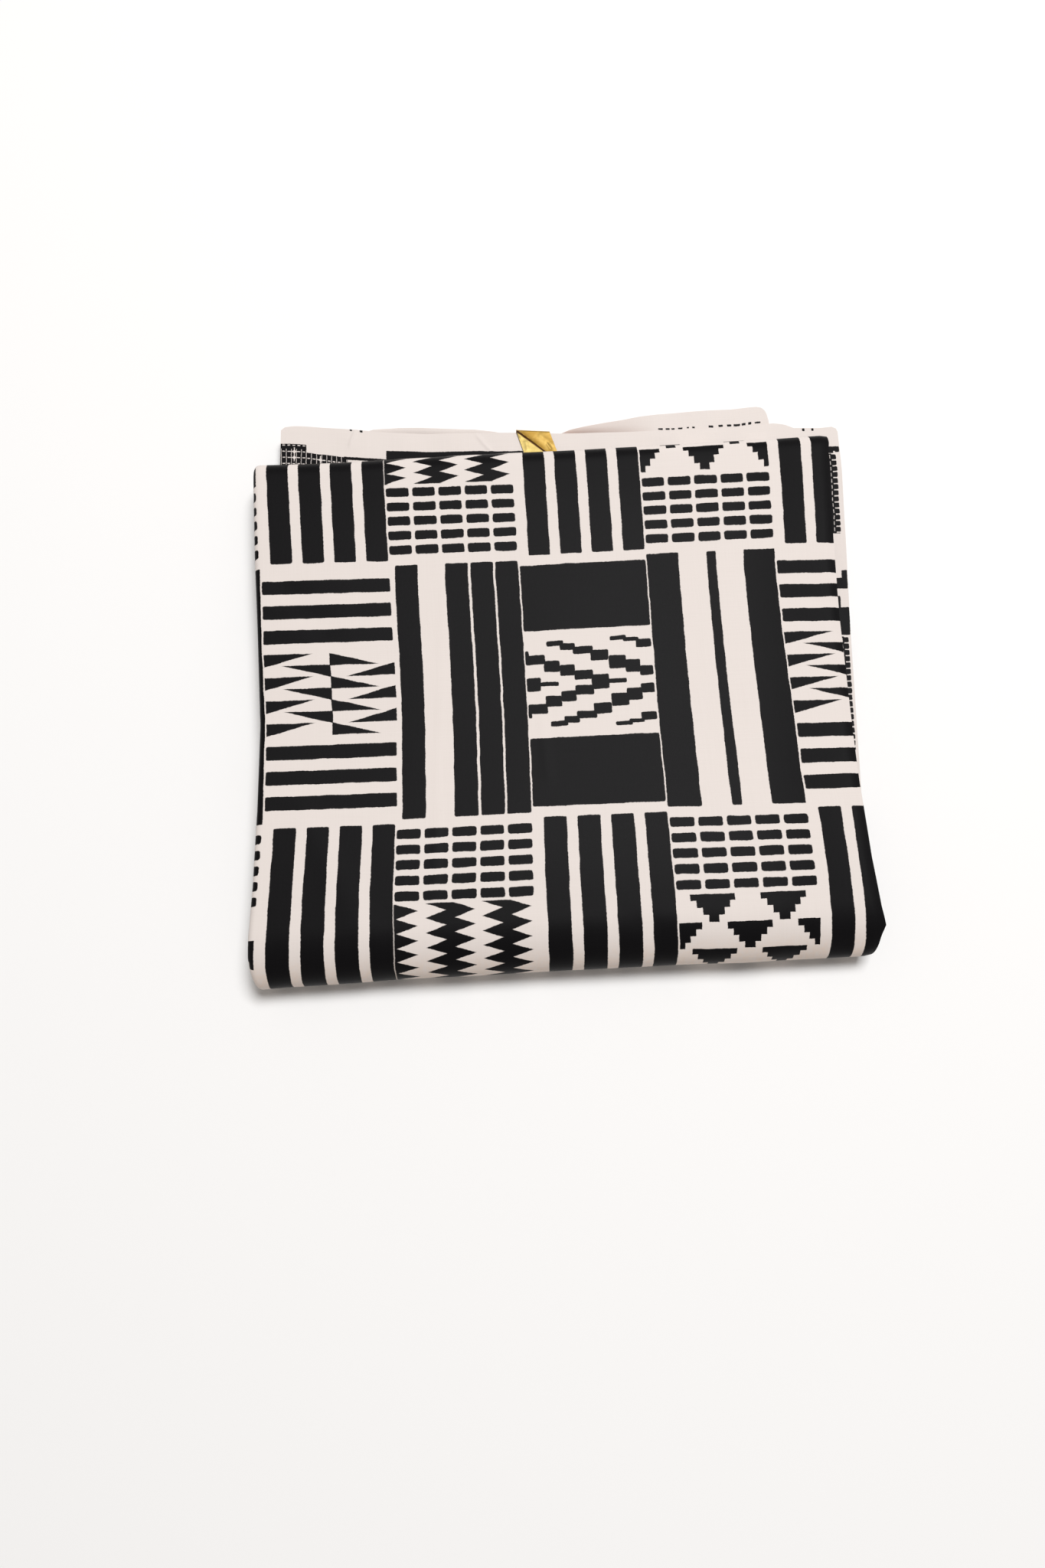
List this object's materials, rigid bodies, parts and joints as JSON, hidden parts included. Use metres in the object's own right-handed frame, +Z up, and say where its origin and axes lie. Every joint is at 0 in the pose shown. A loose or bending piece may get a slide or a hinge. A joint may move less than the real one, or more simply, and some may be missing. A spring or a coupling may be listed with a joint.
{
  "type": "folded length of african printed cotton",
  "caption": "Flat folded bundle of block-printed cotton cloth with a soft front roll, a folded back edge and selvedges that stick out behind it.",
  "frame": {"origin": "under the middle of the bundle's bounding box, on the table it lies on", "axes": "+X along the front roll to the right, +Y from the front roll back to the selvedges, +Z up"},
  "size_m": [0.3236, 0.3072, 0.029],
  "materials": {
    "printed_cotton": "plain-woven off-white cotton with a matt black block print and a faint sheen",
    "gold_foil": "gold foil on thin paper, crumpled"
  },
  "bodies": {
    "root": {"outer_leaf": "printed_cotton", "folded_leaves": "printed_cotton", "selvedge_leaf": "printed_cotton", "raised_leaf": "printed_cotton", "tucked_leaf": "printed_cotton", "foil_label": "gold_foil"}
  },
  "joints": []
}
